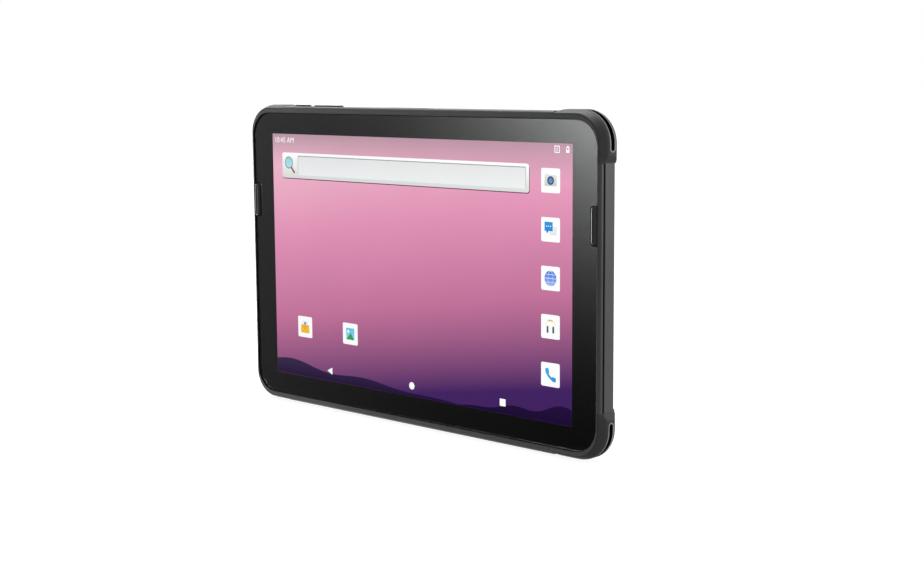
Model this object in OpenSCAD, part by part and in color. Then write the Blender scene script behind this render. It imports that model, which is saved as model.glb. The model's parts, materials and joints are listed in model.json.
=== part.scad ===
// Rugged field data collector: a tablet in a sealed two-part case with corner bumpers.
// It is drawn lying on its back, x to the right, y up the screen and z towards the
// viewer, and every depth is counted from the front. upright() then stands it on its
// lower bumpers: +X right, +Y into the case, +Z up, origin under its middle.

/* [Body] */
// Width over the straight side walls
body_w = 252; // [248:1:264]
// Height over the straight top and bottom walls
body_h = 166; // [164:1:176]
// Depth from the front of the rim to the bumpers' rear feet
body_t = 15; // [15:0.1:17]
// Depth of the rear shell's flat face
shell_d = 14.6; // [14.4:0.1:14.8]
// Corner radius of the straight-walled body
corner_r = 15.2; // [14:0.1:17]
// Width of the chamfer round the rear face
rear_chamfer = 3.8; // [2:0.1:4.5]
// Rounding of the rim's front edge
rim_round = 1.5; // [0.5:0.1:1.8]
// Wall of the case at its sides
wall = 3.4; // [3:0.1:4]
// Thickness of the rear shell's floor
floor_t = 2; // [1.8:0.1:2.4]

/* [Bumpers] */
// How far the bumpers stand out of the straight walls
bumper_out = 1.4; // [0.8:0.1:2]
// Where the bumpers end along the top and bottom, from the middle
bumper_x = 97.5; // [90:0.5:104]
// Where the bumpers end along the sides, from the middle
bumper_y = 59; // [52:0.5:62]
// Length of the ramp at a bumper's end
bumper_ramp = 4; // [2:0.5:6]
// Width of the strap slots
slot_w = 2.8; // [2:0.1:3.2]
// Depth of the strap slots' centre line from the front
slot_d = 7.6; // [7:0.1:8]

/* [Screen] */
// Cover glass width
glass_w = 247.6; // [245:0.1:248]
// Cover glass height
glass_h = 158.5; // [156:0.1:160]
// Cover glass corner radius
glass_r = 13; // [10:0.5:14]
// Cover glass thickness
glass_t = 1.1; // [0.7:0.1:1.1]
// How far the glass lies behind the rim
glass_drop = 0.5; // [0.2:0.1:0.5]
// Visible picture width
screen_w = 217; // [210:0.1:218]
// Visible picture height
screen_h = 135.6; // [130:0.1:137]

/* [Keys] */
// Height of the scan keys' middle above the middle of the screen
key_y = 30; // [20:1:40]
// Length of a scan key
key_len = 18.4; // [14:0.1:20]
// Width of a scan key
key_w = 4.2; // [3.6:0.1:4.4]
// Length of the power button
power_len = 12; // [9:0.5:13]
// Middle of the power button along the top
power_x = -89.4; // [-92:0.1:-88]
// Length of the volume rocker
volume_len = 22.4; // [18:0.1:24]
// Middle of the volume rocker along the top
volume_x = -68.5; // [-70:0.1:-66]
// Height that the top buttons stand out
button_out = 0.9; // [0.5:0.1:1.2]

/* [Battery] */
// Battery pack width
bat_w = 168; // [150:1:170]
// Battery pack height
bat_h = 84; // [70:1:86]
// Middle of the battery pack above the middle of the case
bat_y = -9; // [-10:1:-8]
// Gap all round the pack in its bay
bat_gap = 0.3; // [0.2:0.05:0.5]

/* [Mounts] */
// Spacing of the rear threaded inserts across the case
insert_dx = 204; // [200:1:206]
// Spacing of the rear threaded inserts up the case
insert_dy = 60; // [50:1:64]
// Tapping radius of the inserts' M3 thread
insert_hole_r = 1.25; // [1.25:0.05:1.3]

/* [Hidden] */
$fn = 48;

// levels counted from the front
d_glass_back = glass_drop + glass_t;
d_ink = d_glass_back + 0.1;
d_panel = d_ink + 2.1;
d_light = d_panel + 1.2;
d_ledge = d_ink + 0.4;
d_seam = 3.2;
d_mid = d_light + 0.05;
d_mid_back = d_mid + 1;
d_board = 6.6;
d_board_back = 7.6;
d_bay_floor = 6.2;
d_bay = 7;
d_pack = 7.3;
d_floor = shell_d - floor_t;
d_pack_split = 13.1;
d_chamfer = shell_d - rear_chamfer;

// where the row of top buttons starts and ends
buttons_from = power_x - power_len / 2;
buttons_to = volume_x + volume_len / 2;

// levels of the seam groove round the case
groove_a = 2.4;
groove_b = 3.9;
groove_depth = 0.5;

seat = 1.6;             // how far the bumpers reach into the case
seat_turn_d = 10;       // where their seat turns inwards
seat_back_d = 14;       // and where it ends
foot = 5.6;             // how far the rear feet reach inwards
bumper_corner = 2.6;    // how far the rear edge of a bumper is set in
bumper_face = 0.9;      // how far its front edge is set in
bumper_face_d = 4.4;    // depth at which it reaches its full size
bumper_wall_d = 10.6;   // depth at which it turns to the rear
liner_wall = 0.7;       // wall of the strap slots' liners
slot_end_x = 107.4;     // where the slots end along the top and bottom
slot_end_y = 64.6;      // and along the sides
slot_in = 3.4;          // how far the slots reach into the case

panel_w = screen_w + 5;
panel_h = screen_h + 5.4;
cavity_r = 20;
cavity_w = body_w - 2 * wall;
cavity_h = body_h - 2 * wall;
bay_wall = 1.2;
card_x = -52;
contact_pitch = 3.6;
contact_y = bat_y + bat_h / 2 - 7;
cell_x = 40;
cell_y = bat_y - 4;
clear = 0.3;

// ends of cuts that run past the front and the rear
before = -1;
past = 17;

half_w = body_w / 2;
half_h = body_h / 2;
key_x = glass_w / 2 + 0.5 - key_w / 2;
key_stem_x = key_x - 0.9;
key_stem_r = 1.1;
key_notch_gap = 0.35;
case_screw_at = [
    [97, 74.6], [-97, 74.6], [97, -74.6], [-97, -74.6],
    [117.6, 48], [-117.6, 48], [117.6, -44], [-117.6, -44]
];
insert_r = 2.3;
insert_d = 9.4;
post_r = 2.6;
case_screw_r = 0.8;
case_screw_head_r = 2;
case_screw_head_d = shell_d - 1.7;
screw_socket_r = 1;
board_w = 190;
board_h = 36;
board_y = 54.5;
board_screw_at = [[-88, 68], [79, 69], [-88, 41], [88, 41], [17, 69]];
button_w = 3.8;
button_d = 7.6;
scan_x = -6;
scan_w = 30;
scan_d = 8;
scan_t = 5.6;
camera_x = 88;
camera_y = 62;
camera_ring_r = 7.9;
camera_window_r = 5.3;
led_x = 74;
led_r = 2.3;
speaker_x = 62;
speaker_y = -66;
port_y = 4;
port_len = 44;
port_t = 6.4;
port_d = 7.6;
door_t = 1.5;
door_axis_d = port_d + port_t / 2 - 0.1;
door_axis_x = -half_w + 1.5;
door_barrel_r = 1.25;
door_pin_r = 0.6;
dock_w = 34;
dock_d = 8.4;
dock_t = 5;
dock_pitch = 3.2;
dock_pin_r = 0.9;
mic_x = -30;

// ---- placing and shared outlines ----

module upright() {
    translate([0, 0, half_h + bumper_out])
        rotate([90, 0, 0])
            translate([0, 0, -body_t / 2])
                children();
}

// prism of a flat outline from depth a to depth b
module layer(a, b) {
    translate([0, 0, body_t - b])
        linear_extrude(b - a)
            children();
}

module rrect(w, h, r) {
    square([w - 2 * r, h], center = true);
    square([w, h - 2 * r], center = true);
    for (sx = [-1, 1], sy = [-1, 1])
        translate([sx * (w / 2 - r), sy * (h / 2 - r)])
            circle(r);
}

// pill outline along x
module pill(len, w) {
    square([len - w, w], center = true);
    for (s = [-1, 1])
        translate([s * (len - w) / 2, 0])
            circle(w / 2);
}

// profile point: o outwards from the outline, d deep from the front
function pt(o, d) = [o, body_t - d];

// sweeps a profile all round a rounded rectangle
module sweep_round(w, h, r) {
    for (k = [0:3]) {
        run = k % 2 == 0 ? h : w;
        out = k % 2 == 0 ? w : h;
        rotate(90 * k)
            translate([out / 2, run / 2 - r, 0]) {
                rotate([90, 0, 0])
                    linear_extrude(run - 2 * r)
                        children();
                translate([-r, 0, 0])
                    rotate_extrude(angle = 90)
                        translate([r, 0])
                            children();
            }
    }
}

// sweeps a profile round the upper right corner, ending at end_x and end_y
module sweep_corner(end_x, end_y) {
    cx = half_w - corner_r;
    cy = half_h - corner_r;
    translate([cx, cy, 0]) {
        rotate_extrude(angle = 90)
            translate([corner_r, 0])
                children();
        translate([corner_r, 0, 0])
            rotate([90, 0, 0])
                linear_extrude(cy - end_y)
                    children();
        rotate(90)
            translate([corner_r, cx - end_x, 0])
                rotate([90, 0, 0])
                    linear_extrude(cx - end_x)
                        children();
    }
}

module at_corners() {
    for (mx = [0, 1], my = [0, 1])
        mirror([mx, 0, 0])
            mirror([0, my, 0])
                children();
}

// ---- cuts that several pieces share ----

module seam_groove() {
    sweep_round(body_w, body_h, corner_r)
        polygon([
            pt(-groove_depth, groove_a), pt(1, groove_a),
            pt(1, groove_b), pt(-groove_depth, groove_b)
        ]);
}

module bumper_seats() {
    at_corners()
        sweep_corner(bumper_x, bumper_y)
            polygon([
                pt(-seat, before), pt(3, before), pt(3, past), pt(-foot, past),
                pt(-foot, seat_back_d), pt(-seat, seat_turn_d)
            ]);
}

// space of one strap slot, grown by g
module slot_space(g, inner) {
    half = slot_w / 2 + g;
    last_x = slot_end_x + slot_w / 2;
    last_y = slot_end_y + slot_w / 2;
    sweep_corner(last_x, last_y)
        polygon([
            pt(-inner, slot_d - half), pt(3, slot_d - half),
            pt(3, slot_d + half), pt(-inner, slot_d + half)
        ]);
    translate([half_w - inner, last_y, body_t - slot_d])
        rotate([0, 90, 0])
            cylinder(h = inner + 3, r = half);
    translate([last_x, half_h - inner, body_t - slot_d])
        rotate([-90, 0, 0])
            cylinder(h = inner + 3, r = half);
}

module battery_hole(g) {
    translate([0, bat_y])
        rrect(bat_w + 2 * g, bat_h + 2 * g, 4 + g);
}

// outline of a scan key grown by g: square against the rim, rounded on the inside
module key_outline(g) {
    w = key_w + 2 * g;
    len = key_len + 2 * g;
    r = 1.8 + g;
    translate([key_x, key_y]) {
        translate([-w / 2 + r, -len / 2])
            square([w - r, len]);
        translate([-w / 2, -len / 2 + r])
            square([w, len - 2 * r]);
        for (s = [-1, 1])
            translate([-w / 2 + r, s * (len / 2 - r)])
                circle(r);
    }
}

module both_keys() {
    for (m = [0, 1])
        mirror([m, 0, 0])
            children();
}

// opening through the top wall for a button that is len long
module button_hole(x, len, g) {
    translate([x, half_h + 2, body_t - button_d])
        rotate([90, 0, 0])
            linear_extrude(8)
                pill(len + 2 * g, button_w + 2 * g);
}

// ---- screen ----

module cover_glass() {
    upright()
        color("#14161a", 0.35)
            layer(glass_drop, d_glass_back)
                difference() {
                    rrect(glass_w, glass_h, glass_r);
                    both_keys() key_outline(key_notch_gap);
                }
}

module ink_border() {
    upright()
        color("#0b0b0c")
            layer(d_glass_back, d_ink)
                difference() {
                    rrect(glass_w - 0.4, glass_h - 0.4, glass_r - 0.2);
                    square([screen_w, screen_h], center = true);
                    both_keys() key_outline(key_notch_gap + 0.2);
                }
}

module display_panel() {
    upright()
        color("#c86f9e")
            layer(d_ink, d_panel)
                square([panel_w, panel_h], center = true);
}

module backlight() {
    upright()
        color("#e8e8ea")
            layer(d_panel, d_light)
                square([panel_w, panel_h], center = true);
}

module screen_gasket() {
    upright()
        color("#1d1d1f")
            layer(d_ink, d_ledge)
                difference() {
                    rrect(glass_w - 1.2, glass_h - 1.2, glass_r - 0.6);
                    rrect(panel_w + 2.4, panel_h + 2.4, 1.4);
                    both_keys() key_outline(key_notch_gap + 0.4);
                }
}

// ---- case ----

module front_frame() {
    upright()
        color("#3c3d40")
            difference() {
                union() {
                    layer(0, d_seam)
                        rrect(body_w, body_h, corner_r);
                    for (p = case_screw_at)
                        translate(p)
                            layer(d_seam - 0.2, 8)
                                circle(post_r);
                }
                sweep_round(body_w, body_h, corner_r)
                    translate([-rim_round, body_t - rim_round])
                        difference() {
                            square(rim_round + 1);
                            circle(rim_round);
                        }
                layer(before, d_ledge)
                    rrect(glass_w + 0.5, glass_h + 0.5, glass_r + 0.25);
                layer(before, past)
                    rrect(panel_w + 1, panel_h + 1, 1);
                both_keys() {
                    layer(before, d_ledge)
                        key_outline(clear);
                    translate([key_stem_x, key_y])
                        layer(before, 5)
                            circle(key_stem_r + 0.2);
                }
                seam_groove();
                bumper_seats();
                for (p = case_screw_at)
                    translate(p)
                        layer(2.6, 9)
                            circle(case_screw_r + 0.05);
            }
}

module mid_frame() {
    upright()
        color("#9a9da1")
            difference() {
                layer(d_mid, d_mid_back)
                    rrect(236, 143, 6);
                for (p = case_screw_at)
                    translate(p)
                        layer(0, past)
                            circle(post_r + clear);
                // window for the screen's flexible cable
                translate([-60, 56])
                    layer(0, past)
                        rrect(26, 5, 1);
                for (x = [-96, 96], y = [-60, 34])
                    translate([x, y])
                        layer(0, past)
                            rrect(24, 22, 4);
                // room for the side sockets and the scan engine
                translate([-114, port_y])
                    layer(0, past)
                        rrect(18, 36, 2);
                translate([scan_x, 72])
                    layer(0, past)
                        rrect(26, 16, 2);
            }
}

module rear_shell() {
    upright()
        color("#4a4b4e")
            difference() {
                union() {
                    difference() {
                        layer(d_seam, shell_d)
                            rrect(body_w, body_h, corner_r);
                        layer(d_seam - 1, d_floor)
                            rrect(cavity_w, cavity_h, cavity_r);
                    }
                    // walls and floor of the battery bay
                    translate([0, bat_y])
                        layer(d_bay_floor, d_floor + 0.5)
                            rrect(bat_w + 2 * (bat_gap + bay_wall), bat_h + 2 * (bat_gap + bay_wall), 5.5);
                    for (p = case_screw_at)
                        translate(p)
                            layer(8.05, d_floor + 0.5)
                                circle(post_r);
                    for (x = [-1, 1], y = [-1, 1])
                        translate([x * insert_dx / 2, y * insert_dy / 2])
                            layer(8.5, d_floor + 0.5)
                                circle(4);
                }
                // chamfer round the rear face
                sweep_round(body_w, body_h, corner_r)
                    polygon([
                        pt(-rear_chamfer - 1, shell_d + 1), pt(1, d_chamfer - 1), pt(1, shell_d + 1)
                    ]);
                seam_groove();
                bumper_seats();
                at_corners() slot_space(0, slot_in);
                layer(d_bay, past)
                    battery_hole(bat_gap);
                // connector window in the bay's floor
                translate([0, contact_y])
                    layer(0, past)
                        square([25, 7.4], center = true);
                // card socket window in the bay's floor
                translate([card_x, bat_y])
                    layer(0, d_bay + 0.1)
                        square([16.4, 14.4], center = true);
                // case screws: clearance holes and head recesses
                for (p = case_screw_at)
                    translate(p) {
                        layer(0, past)
                            circle(case_screw_r + 0.4);
                        layer(case_screw_head_d, past)
                            circle(case_screw_head_r + clear);
                    }
                for (x = [-1, 1], y = [-1, 1])
                    translate([x * insert_dx / 2, y * insert_dy / 2])
                        layer(insert_d, past)
                            circle(insert_r);
                // top buttons: shallow pocket, then the openings
                translate([(buttons_from + buttons_to) / 2, half_h - 0.5, body_t - button_d])
                    rotate([-90, 0, 0])
                        linear_extrude(3)
                            pill(buttons_to - buttons_from + 3, button_w + 1.4);
                button_hole(power_x, power_len, clear);
                button_hole(volume_x, volume_len, clear);
                // scan window
                translate([scan_x, half_h - 8, body_t - scan_d])
                    rotate([-90, 0, 0])
                        linear_extrude(9)
                            rrect(scan_w - 4, scan_t - 1.6, 1);
                translate([scan_x, half_h - 1.3, body_t - scan_d])
                    rotate([-90, 0, 0])
                        linear_extrude(3)
                            rrect(scan_w, scan_t, 1.4);
                // rear camera and lamp
                translate([camera_x, camera_y]) {
                    layer(d_floor - 1, past)
                        circle(5.2);
                    layer(shell_d - 0.9, past)
                        circle(camera_ring_r + 0.1);
                }
                translate([led_x, camera_y])
                    layer(d_floor - 1, past)
                        circle(led_r + 0.1);
                // loudspeaker openings
                for (s = [-1, 1])
                    translate([s * speaker_x, speaker_y])
                        for (i = [-4:4])
                            translate([i * 2.2, 0])
                                layer(d_floor - 1, past)
                                    square([1.1, 6], center = true);
                // side port recess, door recess and barrel recess
                translate([-half_w, port_y, body_t - port_d]) {
                    cube([2 * (door_t + 0.3), port_len + 0.8, port_t + 0.6], center = true);
                    cube([14, port_len - 5, port_t - 1.4], center = true);
                }
                translate([door_axis_x, port_y, body_t - door_axis_d])
                    rotate([90, 0, 0])
                        cylinder(h = port_len + 0.8, r = door_barrel_r + 0.35, center = true);
                translate([door_axis_x, port_y, body_t - door_axis_d])
                    rotate([90, 0, 0])
                        cylinder(h = port_len + 6, r = door_pin_r, center = true);
                // dock contact opening in the lower wall
                translate([0, -half_h, body_t - dock_d])
                    rotate([90, 0, 0])
                        linear_extrude(18, center = true)
                            rrect(dock_w, dock_t, 1.2);
                // latch pockets, slots for their necks and tongue slots in the bay wall
                for (m = [0, 1])
                    mirror([m, 0, 0])
                        translate([0, bat_y]) {
                            translate([bat_w / 2 + 4, -6.3])
                                layer(13.2, past)
                                    square([18.6, 12.6]);
                            translate([bat_w / 2 + 7.7, -2.8])
                                layer(d_floor - 1, past)
                                    square([8.6, 5.6]);
                            translate([bat_w / 2 - 1, -4.3])
                                layer(11, d_floor)
                                    square([5, 8.6]);
                        }
                // microphone port
                translate([mic_x, -half_h, body_t - dock_d])
                    rotate([90, 0, 0])
                        cylinder(h = 20, r = 0.6, center = true);
            }
}

module shell_seal() {
    upright()
        color("#161617")
            layer(d_seam, d_seam + 0.6)
                difference() {
                    rrect(cavity_w - 0.2, cavity_h - 0.2, cavity_r);
                    rrect(cavity_w - 2.4, cavity_h - 2.4, cavity_r - 1.1);
                    for (p = case_screw_at)
                        translate(p)
                            circle(post_r + 0.1);
                    both_keys()
                        translate([key_stem_x + 1, key_y])
                            square([6, 6], center = true);
                }
}

// ---- bumpers ----

module bumper() {
    difference() {
        sweep_corner(bumper_x, bumper_y)
            polygon([
                pt(-seat, 0), pt(-bumper_face, 0), pt(bumper_out, bumper_face_d),
                pt(bumper_out, bumper_wall_d), pt(-bumper_corner, body_t),
                pt(-foot, body_t), pt(-foot, seat_back_d), pt(-seat, seat_turn_d)
            ]);
        // ramps at both ends
        linear_extrude(body_t)
            polygon([
                [half_w, bumper_y - 1], [half_w, bumper_y],
                [half_w + bumper_out, bumper_y + bumper_ramp],
                [half_w + 3, bumper_y + bumper_ramp], [half_w + 3, bumper_y - 1]
            ]);
        linear_extrude(body_t)
            polygon([
                [bumper_x - 1, half_h], [bumper_x, half_h],
                [bumper_x + bumper_ramp, half_h + bumper_out],
                [bumper_x + bumper_ramp, half_h + 3], [bumper_x - 1, half_h + 3]
            ]);
        slot_space(liner_wall, slot_in);
    }
}

module bumper_top_left() {
    upright()
        color("#333436")
            mirror([1, 0, 0]) bumper();
}

module bumper_top_right() {
    upright()
        color("#333436")
            bumper();
}

module bumper_bottom_left() {
    upright()
        color("#333436")
            mirror([1, 0, 0]) mirror([0, 1, 0]) bumper();
}

module bumper_bottom_right() {
    upright()
        color("#333436")
            mirror([0, 1, 0]) bumper();
}

// band of the bumpers' own section that the slot liners fill
module liner_blank() {
    sweep_corner(bumper_x, bumper_y)
        polygon([
            pt(-seat, slot_d - 3), pt(bumper_out, slot_d - 3),
            pt(bumper_out, slot_d + 3), pt(-seat, slot_d + 3)
        ]);
}

module slot_liners() {
    upright()
        color("#8b8c8f")
            at_corners()
                difference() {
                    intersection() {
                        liner_blank();
                        slot_space(liner_wall, slot_in);
                    }
                    slot_space(0, slot_in + 1);
                }
}

module strap_pins() {
    reach = corner_r - 1.4;
    upright()
        color("#c4c6c9")
            at_corners()
                translate([half_w - corner_r, half_h - corner_r, 0])
                    translate([reach * cos(45), reach * sin(45), body_t - slot_d])
                        cylinder(h = slot_w, r = 0.9, center = true);
}

// ---- keys and buttons ----

module scan_key() {
    difference() {
        union() {
            layer(0.4, d_ledge - 0.75)
                key_outline(0);
            layer(0, 0.4)
                key_outline(-0.5);
            translate([key_stem_x, key_y])
                layer(1, 4)
                    circle(key_stem_r);
        }
        // finger line along the key's face
        translate([key_x - 0.2, key_y])
            layer(before, 0.15)
                rotate(90) pill(key_len - 6, 0.8);
    }
}

module left_scan_key() {
    upright()
        color("#26272a")
            mirror([1, 0, 0]) scan_key();
}

module right_scan_key() {
    upright()
        color("#26272a")
            scan_key();
}

module key_switches() {
    upright()
        color("#b9bbbe")
            both_keys()
                translate([key_stem_x, key_y]) {
                    layer(4.8, 5.1)
                        circle(0.8);
                    layer(5.1, 6.3)
                        square([2.4, 3], center = true);
                }
}

// cap through the top wall with a wider foot inside
module top_button(x, len, out) {
    translate([x, half_h + out - 0.4, body_t - button_d])
        rotate([-90, 0, 0])
            linear_extrude(0.4)
                pill(len - 0.8, button_w - 0.8);
    translate([x, half_h + out - 0.4, body_t - button_d])
        rotate([90, 0, 0])
            linear_extrude(out + wall - 0.3)
                pill(len, button_w);
    translate([x, half_h - wall - 1.2, body_t - button_d])
        rotate([-90, 0, 0])
            linear_extrude(0.9)
                pill(len + 1.6, button_w + 1);
    translate([x, half_h - wall - 0.6, body_t - button_d])
        rotate([-90, 0, 0])
            linear_extrude(1)
                pill(len, button_w);
}

module power_button() {
    upright()
        color("#2b2c2f")
            top_button(power_x, power_len, button_out);
}

module volume_rocker() {
    upright()
        color("#2b2c2f")
            difference() {
                top_button(volume_x, volume_len, button_out - 0.1);
                // dip between the two ends
                translate([volume_x, half_h + 2.9, body_t - button_d])
                    cylinder(h = 5, r = 2.4, center = true);
            }
}

module side_switches() {
    top = half_h - wall - 1.9;
    upright()
        color("#b9bbbe") {
            for (x = [power_x, volume_x - 7, volume_x + 7])
                translate([x, top - 0.7, body_t - button_d])
                    cube([3, 1.4, 2.6], center = true);
            translate([(power_x + volume_x) / 2 + 1.5, top - 1.55, body_t - button_d])
                cube([34, 0.3, 3], center = true);
        }
}

// ---- battery ----

module battery_case() {
    upright()
        color("#2f3033")
            difference() {
                layer(d_pack, d_pack_split)
                    battery_hole(0);
                for (s = [-1, 1])
                    translate([s * cell_x, cell_y])
                        layer(d_pack + 0.8, past)
                            rrect(78, 72, 2);
                translate([0, contact_y])
                    layer(0, d_pack + 0.3)
                        square([20, 6], center = true);
            }
}

module battery_cover() {
    upright()
        color("#47484b")
            difference() {
                layer(d_pack_split, shell_d)
                    battery_hole(0);
                // finger recess at the lower edge and a shallow panel
                translate([0, bat_y - bat_h / 2])
                    layer(shell_d - 0.8, past)
                        rrect(36, 12, 3);
                translate([0, bat_y + 4])
                    layer(shell_d - 0.3, past)
                        rrect(bat_w - 24, bat_h - 28, 4);
                for (s = [-1, 1])
                    translate([s * (bat_w / 2 - 4), bat_y])
                        layer(shell_d - 0.5, past)
                            rotate(90) pill(10, 1.2);
            }
}

module battery_cells() {
    upright()
        color("#b8bcc4")
            for (s = [-1, 1])
                translate([s * cell_x, cell_y])
                    layer(d_pack + 0.9, d_pack_split - 0.2)
                        rrect(76.4, 70.4, 1.5);
}

module battery_contacts() {
    upright()
        color("#d6b45a")
            for (i = [-2:2])
                translate([i * contact_pitch, contact_y])
                    layer(d_pack, d_pack + 0.3)
                        square([2.2, 5], center = true);
}

module bay_connector() {
    upright()
        translate([0, contact_y]) {
            color("#222326")
                layer(d_bay_floor - 0.05, d_bay - 0.1)
                    square([24.4, 6.8], center = true);
            color("#d6b45a")
                for (i = [-2:2])
                    translate([i * contact_pitch, 0])
                        layer(d_bay - 0.1, d_pack - 0.08)
                            circle(0.6);
        }
}

module bay_seal() {
    upright()
        color("#161617")
            layer(d_bay, d_bay + 0.25)
                difference() {
                    battery_hole(-0.2);
                    translate([0, bat_y])
                        rrect(bat_w - 6, bat_h - 6, 2);
                }
}

// thumb plate on the rear face, neck through the floor and tongue towards the pack
module latch() {
    translate([0, bat_y]) {
        difference() {
            translate([bat_w / 2 + 4.4, -6])
                layer(13.4, shell_d)
                    square([13.9, 12]);
            for (i = [0:3])
                translate([bat_w / 2 + 7 + i * 2.6, -4.5])
                    layer(shell_d - 0.4, past)
                        square([1.1, 9]);
        }
        translate([bat_w / 2 + 8, -2.5])
            layer(d_floor - 0.3, 13.4)
                square([4, 5]);
        translate([bat_w / 2 + bat_gap, -4])
            layer(11.2, d_floor - 0.3)
                square([13.5, 8]);
    }
}

module latch_left() {
    upright()
        color("#6d6e72")
            mirror([1, 0, 0]) latch();
}

module latch_right() {
    upright()
        color("#6d6e72")
            latch();
}

// ---- electronics ----

module main_board() {
    upright()
        color("#1f5a3c")
            difference() {
                translate([0, board_y])
                    layer(d_board, d_board_back)
                        rrect(board_w, board_h, 2);
                for (p = board_screw_at)
                    translate(p)
                        layer(0, past)
                            circle(1.1);
                // space for the scan engine
                translate([scan_x, half_h - wall - 8])
                    layer(0, past)
                        square([scan_w + 1, 14.6], center = true);
            }
}

module shield_cans() {
    upright()
        color("#c9ccd0")
            for (x = [-62, 40])
                translate([x, 54])
                    difference() {
                        layer(d_board_back, d_board_back + 2.2)
                            rrect(34, 24, 1.5);
                        layer(d_board_back - 1, d_board_back + 2)
                            rrect(33.4, 23.4, 1.2);
                        for (i = [-2:2])
                            translate([i * 6, -8])
                                layer(0, past)
                                    circle(0.7);
                    }
}

module board_screws() {
    upright()
        color("#b9bbbe")
            for (p = board_screw_at)
                translate(p) {
                    layer(d_mid_back, d_board_back)
                        circle(0.95);
                    layer(d_board_back, d_board_back + 0.9)
                        difference() {
                            circle(1.8);
                            circle(0.7, $fn = 6);
                        }
                }
}

module case_screws() {
    upright()
        color("#a9abaf")
            for (p = case_screw_at)
                translate(p) {
                    layer(4.4, case_screw_head_d)
                        circle(case_screw_r);
                    difference() {
                        layer(case_screw_head_d, shell_d - 0.3)
                            circle(case_screw_head_r);
                        layer(shell_d - 1.1, past)
                            circle(screw_socket_r, $fn = 6);
                    }
                }
}

module mount_inserts() {
    upright()
        color("#c8a24a")
            for (x = [-1, 1], y = [-1, 1])
                translate([x * insert_dx / 2, y * insert_dy / 2])
                    difference() {
                        layer(insert_d, shell_d - 0.1)
                            circle(insert_r);
                        layer(insert_d + 0.5, past)
                            circle(insert_hole_r);
                    }
}

module scan_engine() {
    upright()
        color("#202225")
            difference() {
                translate([scan_x, half_h - wall - 8.2, body_t - scan_d])
                    cube([23, 13, 5.6], center = true);
                translate([scan_x - 5, half_h - wall - 2.6, body_t - scan_d])
                    rotate([90, 0, 0])
                        cylinder(h = 4, r = 2.1, center = true);
                translate([scan_x + 5, half_h - wall - 2.6, body_t - scan_d])
                    rotate([90, 0, 0])
                        cylinder(h = 4, r = 1.3, center = true);
            }
}

module scan_window() {
    upright()
        color("#3a0d12")
            translate([scan_x, half_h - 1.3, body_t - scan_d])
                rotate([-90, 0, 0])
                    linear_extrude(1.1)
                        rrect(scan_w - 0.2, scan_t - 0.2, 1.3);
}

module camera_module() {
    upright()
        color("#1a1b1d")
            translate([camera_x, camera_y]) {
                layer(d_board_back + 0.2, d_floor - 0.2)
                    square([9, 9], center = true);
                layer(d_floor - 0.2, shell_d - 1)
                    difference() {
                        circle(4.4);
                        circle(2);
                    }
            }
}

module camera_ring() {
    upright()
        color("#77797d")
            translate([camera_x, camera_y])
                layer(shell_d - 0.9, shell_d + 0.3)
                    difference() {
                        circle(camera_ring_r);
                        circle(camera_window_r + 0.1);
                    }
}

module camera_window() {
    upright()
        color("#0d0e12")
            translate([camera_x, camera_y])
                layer(shell_d - 0.9, shell_d - 0.1)
                    circle(camera_window_r);
}

module flash_led() {
    upright()
        color("#f2ecc8")
            translate([led_x, camera_y])
                layer(d_floor - 1, shell_d - 0.2)
                    circle(led_r);
}

module speakers() {
    upright()
        color("#26272a")
            for (s = [-1, 1])
                translate([s * speaker_x, speaker_y])
                    difference() {
                        layer(d_bay, d_floor - 0.4)
                            rrect(30, 16, 2);
                        layer(d_floor - 1, past)
                            rrect(24, 10, 2);
                    }
}

module speaker_meshes() {
    upright()
        color("#151516")
            for (s = [-1, 1])
                translate([s * speaker_x, speaker_y])
                    layer(d_floor - 0.4, d_floor)
                        rrect(24, 9, 1);
}

// ---- ports ----

module port_door() {
    upright()
        color("#2f3033")
            difference() {
                union() {
                    translate([-half_w, port_y - port_len / 2, body_t - door_axis_d])
                        cube([door_t, port_len, port_t - 0.4]);
                    translate([door_axis_x, port_y, body_t - door_axis_d])
                        rotate([90, 0, 0])
                            cylinder(h = port_len, r = door_barrel_r, center = true);
                    // sealing plug on the door's inside
                    translate([-half_w + door_t - 0.2, port_y, body_t - port_d + 0.6])
                        cube([1, port_len - 10, 2.4], center = true);
                }
                translate([door_axis_x, port_y, body_t - door_axis_d])
                    rotate([90, 0, 0])
                        cylinder(h = port_len + 2, r = door_pin_r + 0.05, center = true);
                // finger nail groove
                translate([-half_w, port_y, body_t - port_d + port_t / 2])
                    cube([1, 12, 0.9], center = true);
            }
}

module port_door_pin() {
    upright()
        color("#c4c6c9")
            translate([door_axis_x, port_y, body_t - door_axis_d])
                rotate([90, 0, 0])
                    cylinder(h = port_len + 5.6, r = door_pin_r, center = true);
}

module usb_socket() {
    upright()
        color("#c4c6c9")
            translate([-half_w + 4.4, port_y + 10, body_t - port_d])
                difference() {
                    translate([3.6, 0, 0])
                        cube([7.2, 9, 3.3], center = true);
                    translate([2.4, 0, 0])
                        cube([6, 8.4, 2.7], center = true);
                    translate([-1, 0, 0])
                        cube([3, 8.4, 2.7], center = true);
                }
}

module audio_jack() {
    upright()
        color("#1c1d1f")
            translate([-half_w + 4.4, port_y - 10, body_t - port_d])
                difference() {
                    translate([5.5, 0, 0])
                        cube([11, 6, 4.6], center = true);
                    rotate([0, 90, 0])
                        cylinder(h = 18, r = 1.75, center = true);
                }
}

module dock_block() {
    upright()
        color("#1c1d1f")
            difference() {
                translate([0, -half_h + 0.3, body_t - dock_d])
                    rotate([-90, 0, 0])
                        linear_extrude(5)
                            rrect(dock_w - 0.2, dock_t - 0.2, 1.1);
                for (i = [-4:4])
                    translate([i * dock_pitch, -half_h + 2, body_t - dock_d])
                        rotate([90, 0, 0])
                            cylinder(h = 12, r = dock_pin_r, center = true);
            }
}

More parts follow.
